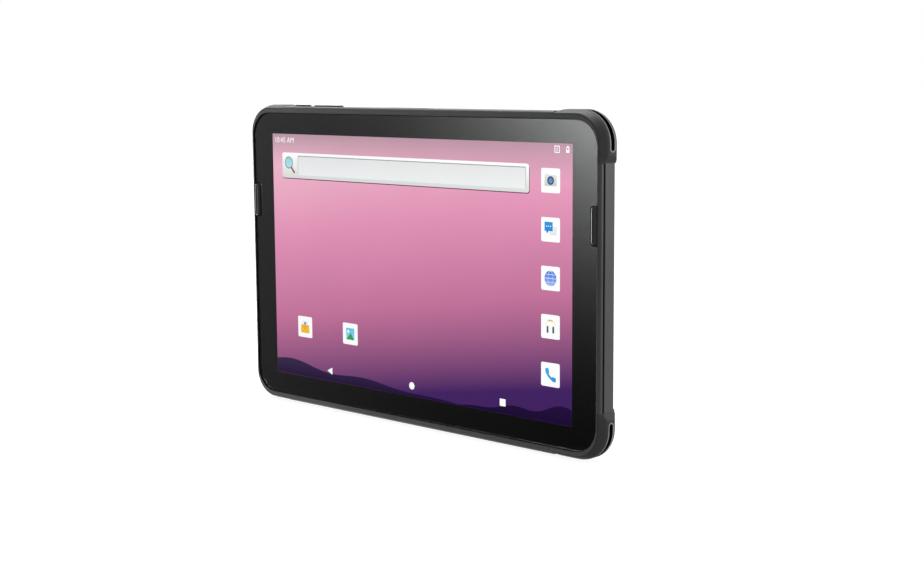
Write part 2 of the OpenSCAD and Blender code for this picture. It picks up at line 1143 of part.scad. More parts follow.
module dock_pins() {
    upright()
        color("#d6b45a")
            for (i = [-4:4])
                translate([i * dock_pitch, -half_h + 0.5, body_t - dock_d])
                    rotate([-90, 0, 0])
                        cylinder(h = 6, r = dock_pin_r);
}

module vibration_motor() {
    upright()
        color("#b9bbbe")
            translate([104, 8])
                layer(d_mid_back + 0.1, d_mid_back + 2.8)
                    circle(4);
}

module microphone() {
    upright()
        color("#d0d2d4")
            translate([mic_x, -half_h + wall + 1.6, body_t - dock_d])
                cube([3.4, 1.2, 2.6], center = true);
}

module antennas() {
    upright()
        color("#c98a3a")
            for (x = [-38, 64])
                translate([x, half_h - wall - 0.8, body_t - 9.6])
                    cube([30, 0.4, 4], center = true);
}

module card_socket() {
    upright()
        color("#c4c6c9")
            translate([card_x, bat_y])
                difference() {
                    layer(d_bay_floor - 0.05, d_bay - 0.05)
                        square([16, 14], center = true);
                    translate([0, -2])
                        layer(d_bay - 0.4, past)
                            square([11.4, 11], center = true);
                }
}

cover_glass();
ink_border();
display_panel();
backlight();
screen_gasket();
front_frame();
mid_frame();
rear_shell();
shell_seal();
bumper_top_left();
bumper_top_right();
bumper_bottom_left();
bumper_bottom_right();
slot_liners();
strap_pins();
left_scan_key();
right_scan_key();
key_switches();
power_button();
volume_rocker();
side_switches();
battery_case();
battery_cover();
battery_cells();
battery_contacts();
bay_connector();
bay_seal();
latch_left();
latch_right();
main_board();
shield_cans();
board_screws();
case_screws();
mount_inserts();
scan_engine();
scan_window();
camera_module();
camera_ring();
camera_window();
flash_led();
speakers();
speaker_meshes();
port_door();
port_door_pin();
usb_socket();
audio_jack();
dock_block();
dock_pins();
vibration_motor();
microphone();
antennas();
card_socket();
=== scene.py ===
import json
from math import cos, hypot, pi, radians, sin, sqrt

import bmesh
import bpy
from mathutils import Matrix, Vector


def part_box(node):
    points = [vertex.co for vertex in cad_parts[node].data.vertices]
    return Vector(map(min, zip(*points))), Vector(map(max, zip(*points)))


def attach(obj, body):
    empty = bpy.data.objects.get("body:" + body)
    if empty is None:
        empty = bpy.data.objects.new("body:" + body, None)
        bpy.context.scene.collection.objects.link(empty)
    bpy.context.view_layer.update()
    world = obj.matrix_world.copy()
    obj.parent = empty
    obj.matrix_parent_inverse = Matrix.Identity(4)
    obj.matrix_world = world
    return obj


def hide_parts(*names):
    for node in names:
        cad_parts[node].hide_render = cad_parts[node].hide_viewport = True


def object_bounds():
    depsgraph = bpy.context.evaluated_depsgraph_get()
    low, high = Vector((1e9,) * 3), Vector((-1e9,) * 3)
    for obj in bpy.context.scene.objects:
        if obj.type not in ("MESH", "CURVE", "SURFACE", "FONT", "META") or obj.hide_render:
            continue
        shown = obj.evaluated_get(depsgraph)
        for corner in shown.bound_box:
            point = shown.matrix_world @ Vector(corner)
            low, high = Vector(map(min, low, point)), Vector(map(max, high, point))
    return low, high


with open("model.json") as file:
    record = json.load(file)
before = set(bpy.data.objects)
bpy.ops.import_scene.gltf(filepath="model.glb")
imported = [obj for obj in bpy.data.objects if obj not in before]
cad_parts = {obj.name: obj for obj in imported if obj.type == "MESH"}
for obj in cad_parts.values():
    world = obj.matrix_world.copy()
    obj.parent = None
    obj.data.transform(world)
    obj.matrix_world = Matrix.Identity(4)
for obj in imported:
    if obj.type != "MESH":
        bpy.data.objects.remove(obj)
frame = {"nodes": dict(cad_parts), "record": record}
cadLow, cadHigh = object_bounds()
nodes = frame["nodes"]
record = frame["record"]
scene = bpy.context.scene
mm = 0.001

bodyOf = {node: body for body, members in record["behaviour"]["bodies"].items() for node in members}
slotOf = {part["node"]: part["material_slot"] for part in record["subparts"]}

# the middle of the screen and the front of the rim, which every place is counted from
centreX = (cadLow.x + cadHigh.x) / 2
centreZ = (cadLow.z + cadHigh.z) / 2
frontY = cadLow.y


def at(x, depth, y):
    # x to the right and y up from the middle of the screen, depth behind the rim's front, in mm
    return Vector((centreX + x * mm, frontY + depth * mm, centreZ + y * mm))


def boxOf(node):
    # a CAD node's box in the same terms: x range, depth range, y range in mm
    low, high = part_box(node)
    xs = ((low.x - centreX) / mm, (high.x - centreX) / mm)
    depths = ((low.y - frontY) / mm, (high.y - frontY) / mm)
    ys = ((low.z - centreZ) / mm, (high.z - centreZ) / mm)
    return xs, depths, ys


caseX, _, caseY = boxOf("front_frame")


def insideOutline(point, corner=15.2):
    # how far a point lies inside the straight-walled case, in mm
    across = abs((point.x - centreX) / mm) - caseX[1] + corner
    along = abs((point.z - centreZ) / mm) - caseY[1] + corner
    return corner - hypot(max(across, 0), max(along, 0)) - min(max(across, along), 0)


print("stage: frame loaded,", len(nodes), "nodes")


def linear(hexColour):
    # sRGB hex to linear light
    parts = [int(hexColour[i:i + 2], 16) / 255 for i in (1, 3, 5)]
    return [p / 12.92 if p <= 0.04045 else ((p + 0.055) / 1.055) ** 2.4 for p in parts] + [1.0]


def addNode(tree, kind, settings=None, links=None):
    # settings name an input socket or a property, links name an input and the socket it takes
    node = tree.nodes.new(kind)
    for key, value in (settings or {}).items():
        if isinstance(key, int) or key in node.inputs:
            node.inputs[key].default_value = value
        else:
            setattr(node, key, value)
    for key, source in (links or {}).items():
        tree.links.new(source, node.inputs[key])
    return node


def newMaterial(name):
    material = bpy.data.materials.new(name)
    material.use_nodes = True
    tree = material.node_tree
    tree.nodes.clear()
    return material, tree


def rampOf(tree, stops, source):
    ramp = addNode(tree, "ShaderNodeValToRGB", links={"Fac": source})
    elements = ramp.color_ramp.elements
    while len(elements) < len(stops):
        elements.new(0.5)
    for element, (place, colour) in zip(elements, stops):
        element.position = place
        element.color = linear(colour)
    return ramp


def mouldedMaterial(name, finish):
    # plastics, rubbers, metals and films: a colour that drifts, grain in bump and roughness,
    material, tree = newMaterial(name)
    coords = addNode(tree, "ShaderNodeTexCoord")
    place = coords.outputs["Object"]
    if "stretch" in finish:
        place = addNode(tree, "ShaderNodeMapping", {"Scale": finish["stretch"]},
                        {"Vector": place}).outputs[0]
    drift = addNode(tree, "ShaderNodeTexNoise", {"Scale": 1 / (finish["driftMm"] * mm), "Detail": 4.0},
                    {"Vector": place})
    grain = addNode(tree, "ShaderNodeTexNoise", {"Scale": 1 / (finish["grainMm"] * mm), "Detail": 3.0},
                    {"Vector": place})
    colour = rampOf(tree, [(0.3, finish["dark"]), (0.7, finish["light"])], drift.outputs["Fac"])
    low, high = finish["roughness"]
    rough = addNode(tree, "ShaderNodeMapRange", {"From Min": 0.3, "From Max": 0.7, "To Min": low,
                                                 "To Max": high},
                    {"Value": grain.outputs["Fac"]})
    bump = addNode(tree, "ShaderNodeBump", {"Strength": finish["bump"], "Distance": finish["depthMm"] * mm},
                   {"Height": grain.outputs["Fac"]})
    surface = addNode(tree, "ShaderNodeBsdfPrincipled", {
        "Metallic": finish.get("metal", 0.0), "IOR": finish.get("ior", 1.5),
        "Specular IOR Level": finish.get("specular", 0.5), "Coat Weight": finish.get("coat", 0.0),
        "Coat Roughness": finish.get("coatRoughness", 0.1), "Sheen Weight": finish.get("sheen", 0.0),
        "Anisotropic": finish.get("anisotropic", 0.0),
    }, {"Base Color": colour.outputs["Color"], "Roughness": rough.outputs[0], "Normal": bump.outputs[0]})
    addNode(tree, "ShaderNodeOutputMaterial", links={"Surface": surface.outputs[0]})
    return material


# each finish is named for what it is; grain and drift are real sizes in mm
finishes = {
    # PC-ABS moulded in a fine spark-eroded tool: a dry dark grey with a soft highlight
    "frame_plastic": {"dark": "#39393b", "light": "#404042", "driftMm": 60, "grainMm": 0.45,
                      "roughness": (0.38, 0.5), "bump": 0.25, "depthMm": 0.03, "ior": 1.58},
    "shell_plastic": {"dark": "#424244", "light": "#49494b", "driftMm": 60, "grainMm": 0.5,
                      "roughness": (0.42, 0.56), "bump": 0.3, "depthMm": 0.04, "ior": 1.58},
    # over-moulded TPU: softer and darker than the case, with a faint bloom
    "bumper_tpu": {"dark": "#2b2b2c", "light": "#323233", "driftMm": 25, "grainMm": 0.4,
                   "roughness": (0.48, 0.62), "bump": 0.35, "depthMm": 0.04, "ior": 1.5, "sheen": 0.04},
    # glass-filled nylon of the strap slots' lips, paler than the bumpers
    "liner_plastic": {"dark": "#8a8a8b", "light": "#969697", "driftMm": 12, "grainMm": 0.35,
                      "roughness": (0.35, 0.5), "bump": 0.2, "depthMm": 0.02},
    # painted polycarbonate of the keys and buttons
    "key_plastic": {"dark": "#2a2b2c", "light": "#323234", "driftMm": 15, "grainMm": 0.3,
                    "roughness": (0.2, 0.28), "bump": 0.15, "depthMm": 0.015},
    # black ABS of the inner mouldings
    "dark_plastic": {"dark": "#1c1c1e", "light": "#262628", "driftMm": 30, "grainMm": 0.4,
                     "roughness": (0.4, 0.55), "bump": 0.25, "depthMm": 0.03},
    # glass-filled nylon of the latches: grey with short pale fibres
    "latch_plastic": {"dark": "#5f6063", "light": "#6d6e71", "driftMm": 3, "grainMm": 0.3,
                      "roughness": (0.4, 0.55), "bump": 0.3, "depthMm": 0.03},
    # silicone of the seals, also laid as painted shade down inside the strap slots, and closed-cell foam of the
    # screen's gasket
    "seal_rubber": {"dark": "#0b0b0c", "light": "#121213", "driftMm": 20, "grainMm": 0.3,
                    "roughness": (0.5, 0.65), "bump": 0.15, "depthMm": 0.02, "ior": 1.41, "specular": 0.25},
    "foam": {"dark": "#161617", "light": "#232324", "driftMm": 4, "grainMm": 0.25,
             "roughness": (0.8, 0.95), "bump": 0.8, "depthMm": 0.08},
    # die-cast magnesium, chromated: dull grey with faint flow marks
    "chassis": {"dark": "#8b8d8f", "light": "#a3a5a7", "driftMm": 14, "grainMm": 0.5, "metal": 1.0,
                "roughness": (0.4, 0.6), "bump": 0.3, "depthMm": 0.03},
    # turned stainless steel
    "steel": {"dark": "#b2b4b6", "light": "#c8cacc", "driftMm": 6, "grainMm": 0.2, "metal": 1.0,
              "roughness": (0.18, 0.32), "bump": 0.1, "depthMm": 0.01, "stretch": (1, 8, 1)},
    "tinned_steel": {"dark": "#b9bbbd", "light": "#d2d4d6", "driftMm": 9, "grainMm": 0.3, "metal": 1.0,
                     "roughness": (0.22, 0.38), "bump": 0.1, "depthMm": 0.01},
    # machined brass, gold flash and rolled copper
    "brass": {"dark": "#b08a3c", "light": "#c9a24c", "driftMm": 4, "grainMm": 0.2, "metal": 1.0,
              "roughness": (0.2, 0.35), "bump": 0.15, "depthMm": 0.01},
    "gold": {"dark": "#d0a950", "light": "#e2bf6c", "driftMm": 3, "grainMm": 0.15, "metal": 1.0,
             "roughness": (0.12, 0.25), "bump": 0.05, "depthMm": 0.005},
    "copper": {"dark": "#b5703a", "light": "#cc8648", "driftMm": 5, "grainMm": 0.2, "metal": 1.0,
               "roughness": (0.25, 0.4), "bump": 0.1, "depthMm": 0.01},
    # bead-blasted anodised aluminium round the camera
    "anodised_ring": {"dark": "#2c2d2f", "light": "#37383a", "driftMm": 6, "grainMm": 0.15, "metal": 1.0,
                      "roughness": (0.3, 0.42), "bump": 0.2, "depthMm": 0.01},
    # aluminium laminate of the pouch cells, embossed by the press
    "cell_foil": {"dark": "#a9adb4", "light": "#c3c7cd", "driftMm": 18, "grainMm": 1.2, "metal": 1.0,
                  "roughness": (0.25, 0.45), "bump": 0.3, "depthMm": 0.05},
    # white reflector film behind the panel
    "white_film": {"dark": "#e4e5e8", "light": "#f0f1f3", "driftMm": 40, "grainMm": 0.4,
                   "roughness": (0.5, 0.6), "bump": 0.1, "depthMm": 0.01},
    # black ceramic ink printed on the back of the glass: as glossy as the glass it lies on
    "black_ink": {"dark": "#010101", "light": "#020202", "driftMm": 30, "grainMm": 0.6,
                  "roughness": (0.03, 0.05), "bump": 0.0, "depthMm": 0.01, "ior": 1.9, "specular": 0.5},
}
materials = {slotName: mouldedMaterial(slotName, finish) for slotName, finish in finishes.items()}


def clearMaterial(name, values):
    # glass and clear plastics: polished, with a trace of smudging in the tint and roughness
    material, tree = newMaterial(name)
    coords = addNode(tree, "ShaderNodeTexCoord")
    smudge = addNode(tree, "ShaderNodeTexNoise", {"Scale": 1 / (values["smudgeMm"] * mm), "Detail": 5.0},
                     {"Vector": coords.outputs["Object"]})
    low, high = values["roughness"]
    rough = addNode(tree, "ShaderNodeMapRange", {"From Min": 0.35, "From Max": 0.7, "To Min": low,
                                                 "To Max": high},
                    {"Value": smudge.outputs["Fac"]})
    tint = rampOf(tree, [(0.35, values["colour"]), (0.7, values["smudged"])], smudge.outputs["Fac"])
    surface = addNode(tree, "ShaderNodeBsdfPrincipled", {
        "Transmission Weight": values["clear"], "IOR": values["ior"], "Specular IOR Level": values["specular"],
    }, {"Base Color": tint.outputs["Color"], "Roughness": rough.outputs[0]})
    addNode(tree, "ShaderNodeOutputMaterial", links={"Surface": surface.outputs[0]})
    return material


# toughened aluminosilicate glass with an anti-reflection coating, the camera's coated glass,
# the lamp's frosted lens and the scan engine's red window
materials["cover_glass"] = clearMaterial("cover_glass", {
    "colour": "#fbfcfc", "smudged": "#f8f9f9", "clear": 1.0, "ior": 1.5, "specular": 0.05,
    "roughness": (0.0, 0.0), "smudgeMm": 35})
materials["lens_glass"] = clearMaterial("lens_glass", {
    "colour": "#10131c", "smudged": "#171b26", "clear": 0.3, "ior": 1.52, "specular": 0.6, "roughness": (0.02, 0.05), "smudgeMm": 4})
materials["lamp_lens"] = clearMaterial("lamp_lens", {
    "colour": "#f3eccb", "smudged": "#e9e0b6", "clear": 0.35, "ior": 1.49, "specular": 0.5, "roughness": (0.2, 0.3), "smudgeMm": 1})
materials["red_window"] = clearMaterial("red_window", {
    "colour": "#24080c", "smudged": "#2e0d12", "clear": 0.35, "ior": 1.49, "specular": 0.5, "roughness": (0.05, 0.1), "smudgeMm": 6})


def boardMaterial():
    # FR4 board: green solder mask over copper tracks, which show as a faint lighter grid
    material, tree = newMaterial("circuit_board")
    coords = addNode(tree, "ShaderNodeTexCoord")
    tracks = addNode(tree, "ShaderNodeTexBrick", {
        "Scale": 1 / (9 * mm), "Mortar Size": 0.03, "Mortar Smooth": 0.2, "Brick Width": 0.6, "Row Height": 0.16,
        "Color1": linear("#17502f"), "Color2": linear("#1b5a36"), "Mortar": linear("#2f7a4c"),
    })
    turned = addNode(tree, "ShaderNodeMapping", {"Rotation": (radians(90), 0, 0)},
                     {"Vector": coords.outputs["Object"]})
    tree.links.new(turned.outputs[0], tracks.inputs["Vector"])
    bump = addNode(tree, "ShaderNodeBump", {"Strength": 0.3, "Distance": 0.03 * mm},
                   {"Height": tracks.outputs["Fac"]})
    surface = addNode(tree, "ShaderNodeBsdfPrincipled", {"Roughness": 0.35},
                      {"Base Color": tracks.outputs["Color"], "Normal": bump.outputs[0]})
    addNode(tree, "ShaderNodeOutputMaterial", links={"Surface": surface.outputs[0]})
    return material


def meshMaterial():
    # woven steel cloth over the loudspeakers, wires 0.25 mm apart
    material, tree = newMaterial("mesh")
    coords = addNode(tree, "ShaderNodeTexCoord")
    turned = addNode(tree, "ShaderNodeMapping", {"Rotation": (radians(90), 0, 0),
                                                 "Scale": (1 / (0.5 * mm),) * 3},
                     {"Vector": coords.outputs["Object"]})
    weave = addNode(tree, "ShaderNodeTexChecker", {"Scale": 1.0, "Color1": linear("#111112"),
                                                   "Color2": linear("#47484a")},
                    {"Vector": turned.outputs[0]})
    bump = addNode(tree, "ShaderNodeBump", {"Strength": 0.6, "Distance": 0.08 * mm},
                   {"Height": weave.outputs["Fac"]})
    surface = addNode(tree, "ShaderNodeBsdfPrincipled", {"Metallic": 0.8, "Roughness": 0.45},
                      {"Base Color": weave.outputs["Color"], "Normal": bump.outputs[0]})
    addNode(tree, "ShaderNodeOutputMaterial", links={"Surface": surface.outputs[0]})
    return material


materials["circuit_board"] = boardMaterial()
materials["mesh"] = meshMaterial()

picture = {
    "strength": 1.15,          # makes up for what the glass takes
    "lean": -0.15,             # how the bands of the sky lean across the screen
    "bottom": -66, "top": 72,
    "sky": ("#402060", "#c07098", "#e090b4", "#f0b8cc"),   # evenly spaced from bottom to top
    "statusLow": 50, "statusHigh": 68, "statusShade": "#80727c", "statusMix": 0.6,
}


def emitter(tree, colour, strength):
    # a lit patch of the screen: no light of its own but the panel's
    surface = addNode(tree, "ShaderNodeBsdfPrincipled", {
        "Base Color": linear("#050505"), "Roughness": 0.6, "Specular IOR Level": 0.0, "Emission Strength": strength,
    }, {"Emission Color": colour})
    addNode(tree, "ShaderNodeOutputMaterial", links={"Surface": surface.outputs[0]})


def pictureMaterial():
    # lit LCD panel: an evening sky, pink above and violet below
    material, tree = newMaterial("display")
    coords = addNode(tree, "ShaderNodeTexCoord")
    inMm = addNode(tree, "ShaderNodeMapping", {"Scale": (1 / mm,) * 3, "Location": (-centreX / mm, 0, -centreZ / mm)},
                   {"Vector": coords.outputs["Object"]})
    axes = addNode(tree, "ShaderNodeSeparateXYZ", links={0: inMm.outputs[0]})
    x, z = axes.outputs["X"], axes.outputs["Z"]
    leaning = addNode(tree, "ShaderNodeMath", {"operation": "MULTIPLY_ADD", 1: picture["lean"]}, {0: x, 2: z})
    height = addNode(tree, "ShaderNodeMapRange", {"From Min": picture["bottom"], "From Max": picture["top"]},
                     {"Value": leaning.outputs[0]})
    stops = [(k / (len(picture["sky"]) - 1), colour) for k, colour in enumerate(picture["sky"])]
    sky = rampOf(tree, stops, height.outputs[0])
    band = addNode(tree, "ShaderNodeMapRange", {
        "From Min": picture["statusLow"], "From Max": picture["statusHigh"], "To Max": picture["statusMix"],
    }, {"Value": z})
    shaded = addNode(tree, "ShaderNodeMix", {"data_type": "RGBA", "blend_type": "MIX"})
    tree.links.new(band.outputs[0], shaded.inputs["Factor"])
    tree.links.new(sky.outputs["Color"], shaded.inputs[6])
    shaded.inputs[7].default_value = linear(picture["statusShade"])
    emitter(tree, shaded.outputs[2], picture["strength"])
    return material


def screenMaterial(name, stops, low, high):
    # a patch of the home screen whose colour runs from low to high, in mm above the middle
    material, tree = newMaterial(name)
    coords = addNode(tree, "ShaderNodeTexCoord")
    axes = addNode(tree, "ShaderNodeSeparateXYZ", links={0: coords.outputs["Object"]})
    height = addNode(tree, "ShaderNodeMapRange", {
        "From Min": centreZ + low * mm, "From Max": centreZ + high * mm}, {"Value": axes.outputs["Z"]})
    places = [(k / (len(stops) - 1), colour) for k, colour in enumerate(stops)]
    ramp = rampOf(tree, places, height.outputs[0])
    emitter(tree, ramp.outputs["Color"], picture["strength"])
    return material


materials["display"] = pictureMaterial()
print("stage: materials,", len(materials))



def finishPiece(name, bm, body, fills, replaced=(), sharp=35):
    # merges, turns the faces outwards and hands the mesh over as a piece
    bmesh.ops.remove_doubles(bm, verts=bm.verts, dist=0.001 * mm)
    bmesh.ops.dissolve_degenerate(bm, edges=bm.edges, dist=0.0005 * mm)
    bmesh.ops.recalc_face_normals(bm, faces=bm.faces)
    mesh = bpy.data.meshes.new(name)
    bm.to_mesh(mesh)
    bm.free()
    for fill in fills:
        mesh.materials.append(fill)
    mesh.shade_smooth()
    mesh.set_sharp_from_angle(angle=radians(sharp))
    piece = bpy.data.objects.new(name, mesh)
    scene.collection.objects.link(piece)
    even = piece.modifiers.new("evenShading", "WEIGHTED_NORMAL")
    even.keep_sharp = True
    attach(piece, body)
    if replaced:
        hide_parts(*replaced)
    return piece


def bevelEdges(bm, edges, width, steps=2):
    return bmesh.ops.bevel(bm, geom=list(edges), offset=width * mm, offset_type="OFFSET", segments=steps,
                           profile=0.5, affect="EDGES", clamp_overlap=True, material=-1)


def sharpEdges(bm, angle):
    return [e for e in bm.edges if len(e.link_faces) == 2 and e.calc_face_angle(0.0) > radians(angle)]


def mergedCopy(node):
    bm = bmesh.new()
    bm.from_mesh(nodes[node].data)
    bmesh.ops.remove_doubles(bm, verts=bm.verts, dist=0.002 * mm)
    bmesh.ops.dissolve_limit(bm, angle_limit=radians(0.6), use_dissolve_boundaries=False,
                             verts=bm.verts, edges=bm.edges)
    return bm


# parts of the case that carry a black seal: the groove round it and the step under the glass;
# the floor of the strap slots is painted shade, black where the slot lies in shadow; each is how far inside the
# outline and how far back, in mm
sealsAndSlotShade = {
    "front_frame": [((0.3, 1.4), (2.35, 3.3)), ((1.62, 9), (0.35, 2.4))],
    # the rear shell's second entry is the strap slots' floor: painted shade, not a seal
    "rear_shell": [((0.3, 1.4), (3.1, 3.95)), ((1.2, 3.0), (5.9, 9.3))],
}


def softened(node, width, steps=2):
    # a merged copy of a CAD node with its sharp edges broken, as a moulded or machined piece has them
    bm = mergedCopy(node)
    bevelEdges(bm, sharpEdges(bm, 32), width, steps)
    for face in bm.faces:
        middle = face.calc_center_median()
        inset, depth = insideOutline(middle), (middle.y - frontY) / mm
        for insets, depths in sealsAndSlotShade.get(node, ()):
            if insets[0] < inset < insets[1] and depths[0] < depth < depths[1]:
                face.material_index = 1
    slotName = slotOf[node]
    fills = [materials[slotName]] + ([materials["seal_rubber"]] if node in sealsAndSlotShade else [])
    return finishPiece("finished_" + node, bm, bodyOf[node], fills, [node])


# width of the broken edges in mm, one for each node that shows
edgeWidths = {
    "cover_glass": 0.16, "front_frame": 0.22, "rear_shell": 0.25, "battery_case": 0.2, "battery_cover": 0.22,
    "latch_left": 0.2, "latch_right": 0.2, "camera_ring": 0.25, "camera_window": 0.15, "flash_led": 0.2,
    "port_door": 0.15, "usb_socket": 0.08, "audio_jack": 0.1, "dock_block": 0.12, "dock_pins": 0.15,
    "case_screws": 0.1, "mount_inserts": 0.12, "scan_window": 0.15, "power_button": 0.15, "volume_rocker": 0.15,
    "bay_connector": 0.08, "battery_contacts": 0.05, "card_socket": 0.06, "bay_seal": 0.06,
}
for node, width in edgeWidths.items():
    softened(node, width)
print("stage: softened copies,", len(edgeWidths))


def printedBorder():
    # the ink lies a hair behind the glass, so that the two never share a face
    gap = 0.05 * mm
    bm = mergedCopy("ink_border")
    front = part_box("ink_border")[0].y
    faceVerts = [v for v in bm.verts if v.co.y < front + gap]
    bmesh.ops.translate(bm, verts=faceVerts, vec=(0, gap, 0))
    finishPiece("printed_border", bm, "root", [materials["black_ink"]], ["ink_border"])


printedBorder()


def loft(bm, stations, pointsAt, closed=False):
    # an open or closed line of points is extruded from one station to the next
    line = [bm.verts.new(p) for p in pointsAt(stations[0])]
    pairs = list(zip(line, line[1:])) + ([(line[-1], line[0])] if closed else [])
    edges = [bm.edges.new(pair) for pair in pairs]
    for station in stations[1:]:
        made = bmesh.ops.extrude_edge_only(bm, edges=edges)["geom"]
        fresh = {g for g in made if isinstance(g, bmesh.types.BMVert)}
        line = [next(e.other_vert(v) for e in v.link_edges if e.other_vert(v) in fresh) for v in line]
        for vert, point in zip(line, pointsAt(station)):
            vert.co = point
        edges = [g for g in made if isinstance(g, bmesh.types.BMEdge) and set(g.verts) <= fresh]


def rounded(corners, steps=4):
    # turns each corner (out, depth, rounding) into an arc
    points = []
    for k, (out, depth, rounding) in enumerate(corners):
        here = Vector((out, depth))
        if not rounding or k in (0, len(corners) - 1):
            points.append(here)
            continue
        before = Vector(corners[k - 1][:2]) - here
        after = Vector(corners[k + 1][:2]) - here
        start, end = here + before.normalized() * rounding, here + after.normalized() * rounding
        for i in range(steps + 1):
            t = i / steps
            points.append(start * (1 - t) ** 2 + here * 2 * t * (1 - t) + end * t ** 2)
    return points


bumperX, bumperDepth, bumperY = boxOf("bumper_top_right")
linerDepth = boxOf("slot_liners")[1]

bumper = {
    "cornerRadius": 15.2,      # of the straight-walled case
    "ramp": 4.0,               # length of the run-up at each end
    "seat": 1.6,               # how far it reaches into the case
    "front": [(-1.6, 0, 0), (-0.9, 0, 0.45), (1.4, 4.4, 1.3)],
    "rear": [(1.4, 10.6, 1.5), (-2.6, 15, 0.7), (-5.6, 15, 0), (-5.6, 14, 0), (-1.6, 10, 0)],
    "slotX": 108.8, "slotY": 66.0,   # middles of the slot's round ends
    "slotRadius": 1.4, "lip": 0.3, "arcSteps": 28, "endSteps": 7,
    "flatter": 0.4,            # how much less it stands out above and below than at the sides
}
slotDepth = sum(linerDepth) / 2
linerRadius = (linerDepth[1] - linerDepth[0]) / 2
standOut = bumperX[1] - caseX[1]
legX = caseX[1] - bumper["cornerRadius"] - bumperX[0]
legY = caseY[1] - bumper["cornerRadius"] - bumperY[0]
arcLength = bumper["cornerRadius"] * pi / 2
pathLength = legX + arcLength + legY
slotStart = bumper["slotX"] - bumperX[0]
slotEnd = pathLength - (bumper["slotY"] - bumperY[0])


def onCorner(s, out, depth, flip=(1, 1)):
    # s mm along the case's outline from the bumper's end on top, round the corner and down the side
    r = bumper["cornerRadius"]
    middle = Vector((caseX[1] - r, caseY[1] - r))
    if s < legX:
        base, normal = Vector((bumperX[0] + s, caseY[1])), Vector((0, 1))
    elif s < legX + arcLength:
        angle = pi / 2 - (s - legX) / r
        normal = Vector((cos(angle), sin(angle)))
        base = middle + normal * r
    else:
        base, normal = Vector((caseX[1], middle.y - (s - legX - arcLength))), Vector((1, 0))
    place = base + normal * (out * (1 - bumper["flatter"] * normal.y ** 2) if out > 0 else out)
    return at(place.x * flip[0], depth, place.y * flip[1])


def pastEnd(s):
    # how far s lies past the middles of the slot's ends
    return max(slotStart - s, s - slotEnd, 0)


def bumperStations():
    ramp, radius = bumper["ramp"], linerRadius + bumper["lip"]
    ends = [ramp * k / 6 for k in range(7)]
    places = ends + [pathLength - e for e in ends]
    places += [legX + arcLength * k / bumper["arcSteps"] for k in range(bumper["arcSteps"] + 1)]
    for k in range(bumper["endSteps"] + 1):
        reach = cos(pi / 2 * k / bumper["endSteps"])
        for size in (radius, linerRadius):
            places += [slotStart - size * reach, slotEnd + size * reach]
    return sorted(set(round(p, 4) for p in places))


def slotHalf(s, radius):
    return sqrt(max(radius ** 2 - pastEnd(s) ** 2, 0))


def lipPoints(s, side):
    # the slot's rounded edge at s, from the wall's surface down to the slot's own wall
    lip, points = bumper["lip"], []
    for k in range(4):
        radius = linerRadius + lip * (1 - sin(pi / 2 * k / 3))
        across = min(max((linerRadius + lip - max(radius, pastEnd(s))) / lip, 0), 1)
        drop = lip * (1 - sqrt(1 - across ** 2))
        points.append((standOut - drop, slotDepth + side * slotHalf(s, radius)))
    return points


def makeBumper(name, flip):
    bm = bmesh.new()
    seat = -bumper["seat"]
    band = [(standOut, slotDepth, 0)]
    front, rear = rounded(bumper["front"] + band)[:-1], rounded(band + bumper["rear"])[1:]

    def placed(points, s):
        t = min(s, pathLength - s) / bumper["ramp"]
        limit = standOut * (t * t * (3 - 2 * t) if t < 1 else 1)
        return [onCorner(s, min(out, limit), depth, flip) for out, depth in points]

    stations = bumperStations()
    slotted = [s for s in stations if pastEnd(s) <= linerRadius + 0.0001]
    wallTop = standOut - bumper["lip"]
    loft(bm, stations, lambda s: placed(front + lipPoints(s, -1), s))
    loft(bm, stations, lambda s: placed(lipPoints(s, 1)[::-1] + rear, s))
    loft(bm, stations, lambda s: placed([(seat, slotDepth - slotHalf(s, linerRadius)), (seat, 0)], s))
    loft(bm, stations, lambda s: placed([(seat, bumper["rear"][-1][1]), (seat, slotDepth + slotHalf(s, linerRadius))], s))
    outside = set(bm.faces)
    for side in (-1, 1):
        loft(bm, slotted, lambda s: placed([(o, slotDepth + side * slotHalf(s, linerRadius)) for o in (wallTop, seat)], s))
    # painted shade: the slot's inner walls take the black seal rubber, as the slot lies in shadow
    for face in set(bm.faces) - outside:
        face.material_index = 1
    bmesh.ops.remove_doubles(bm, verts=bm.verts, dist=0.003 * mm)
    bmesh.ops.holes_fill(bm, edges=[e for e in bm.edges if e.is_boundary], sides=0)
    finishPiece("moulded_" + name, bm, "root", [materials["bumper_tpu"], materials["seal_rubber"]],
                [name], sharp=50)


def makeLiners():
    # the paler lips that line the four slots, swept round each slot's own outline
    bm = bmesh.new()
    seat, wall, edge = -bumper["seat"], linerRadius - bumper["slotRadius"], 0.15
    inner, outer = bumper["slotRadius"], linerRadius - 0.02
    section = [(inner, seat), (inner, standOut - edge), (inner + edge / 2, standOut), (inner + wall / 2, standOut + 0.04),
               (outer - edge / 2, standOut), (outer, standOut - edge), (outer, seat)]
    run = [slotStart + (slotEnd - slotStart) * k / 40 for k in range(41)]
    turns = [k / 12 * pi for k in range(1, 12)]
    route = [(s, -pi / 2) for s in run] + [(slotEnd, t - pi / 2) for t in turns]
    route += [(s, pi / 2) for s in reversed(run)] + [(slotStart, t + pi / 2) for t in turns]
    route.append(route[0])
    for flip in ((1, 1), (-1, 1), (1, -1), (-1, -1)):
        loft(bm, route, lambda place: [onCorner(place[0] + cos(place[1]) * r, out,
                                                slotDepth + sin(place[1]) * r, flip)
                                         for r, out in section], closed=True)
    # painted shade: the faces down inside the slot take the black seal rubber, as the slot lies in shadow
    for face in bm.faces:
        if insideOutline(face.calc_center_median()) > -0.55:
            face.material_index = 1   # down inside the slot
    finishPiece("slot_lips", bm, "root", [materials["liner_plastic"],
                                                           materials["seal_rubber"]],
                ["slot_liners"])


